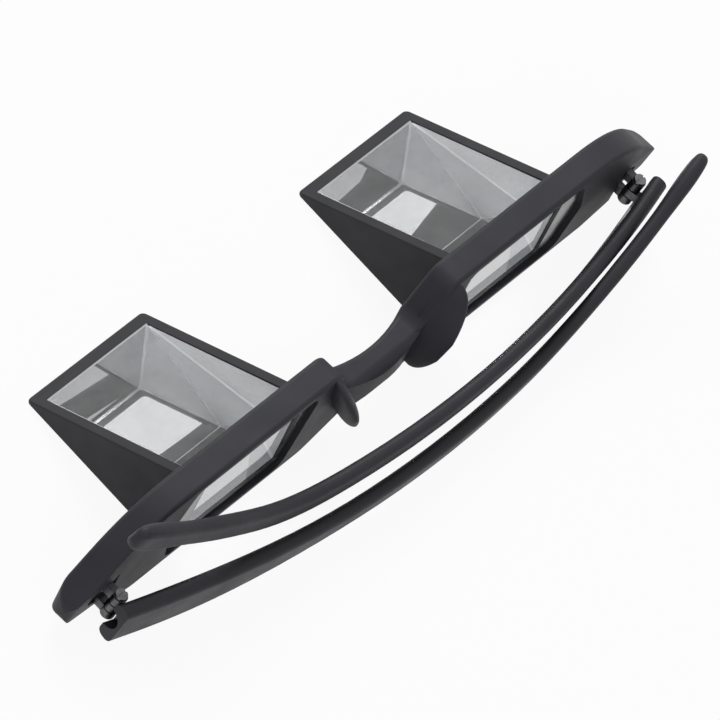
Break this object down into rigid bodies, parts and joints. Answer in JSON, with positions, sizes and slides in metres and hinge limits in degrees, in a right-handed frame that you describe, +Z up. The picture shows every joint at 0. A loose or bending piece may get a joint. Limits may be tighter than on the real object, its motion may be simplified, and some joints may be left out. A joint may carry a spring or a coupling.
{
  "type": "prism bed glasses",
  "caption": "Plastic spectacle frame with a right-angle viewing prism in a wedge housing before each eye and two folding temples, lying upside down",
  "frame": {"origin": "centre of the bounding box on the plane the upturned glasses lie on", "axes": "+X to the wearer's left, +Y forwards from the face, +Z up, towards the wearer's chin as the glasses lie upside down"},
  "size_m": [0.1656, 0.0546, 0.0347],
  "materials": {
    "frame_plastic": "soft matte black injection moulding",
    "housing_plastic": "soft matte black injection moulding",
    "temple_plastic": "soft matte black injection moulding",
    "eye_plate": "smooth grey-black moulding",
    "prism_glass": "polished faces, ground side faces and bevels",
    "mirror_backing": "silvered towards the glass",
    "hinge_metal": "blackened steel",
    "screw_metal": "small turned screw"
  },
  "bodies": {
    "frame": {"front_frame": "frame_plastic", "prism_housing_left": "housing_plastic", "prism_left": "prism_glass", "mirror_backing_left": "mirror_backing", "eye_plate_left": "eye_plate", "frame_hinge_leaf_left": "hinge_metal", "hinge_screw_left": "screw_metal", "prism_housing_right": "housing_plastic", "prism_right": "prism_glass", "mirror_backing_right": "mirror_backing", "eye_plate_right": "eye_plate", "frame_hinge_leaf_right": "hinge_metal", "hinge_screw_right": "screw_metal"},
    "right_temple": {"temple_right": "temple_plastic", "temple_hinge_leaf_right": "hinge_metal"},
    "left_temple": {"temple_left": "temple_plastic", "temple_hinge_leaf_left": "hinge_metal"}
  },
  "joints": [
    {"name": "right_temple_fold", "type": "hinge", "parent": "frame", "child": "right_temple", "pos_m": [-0.0736, -0.01123, 0.0071], "axis": [-0.0297, 0, -0.9996], "range_deg": [0, 81.8]},
    {"name": "left_temple_fold", "type": "hinge", "parent": "frame", "child": "left_temple", "pos_m": [0.0736, -0.01123, 0.0071], "axis": [0.0541, 0, 0.9985], "range_deg": [0, 84.9]}
  ],
  "couplings": [
    {"joint": "left_temple_fold", "follows": "right_temple_fold", "ratio": 1.0379}
  ]
}
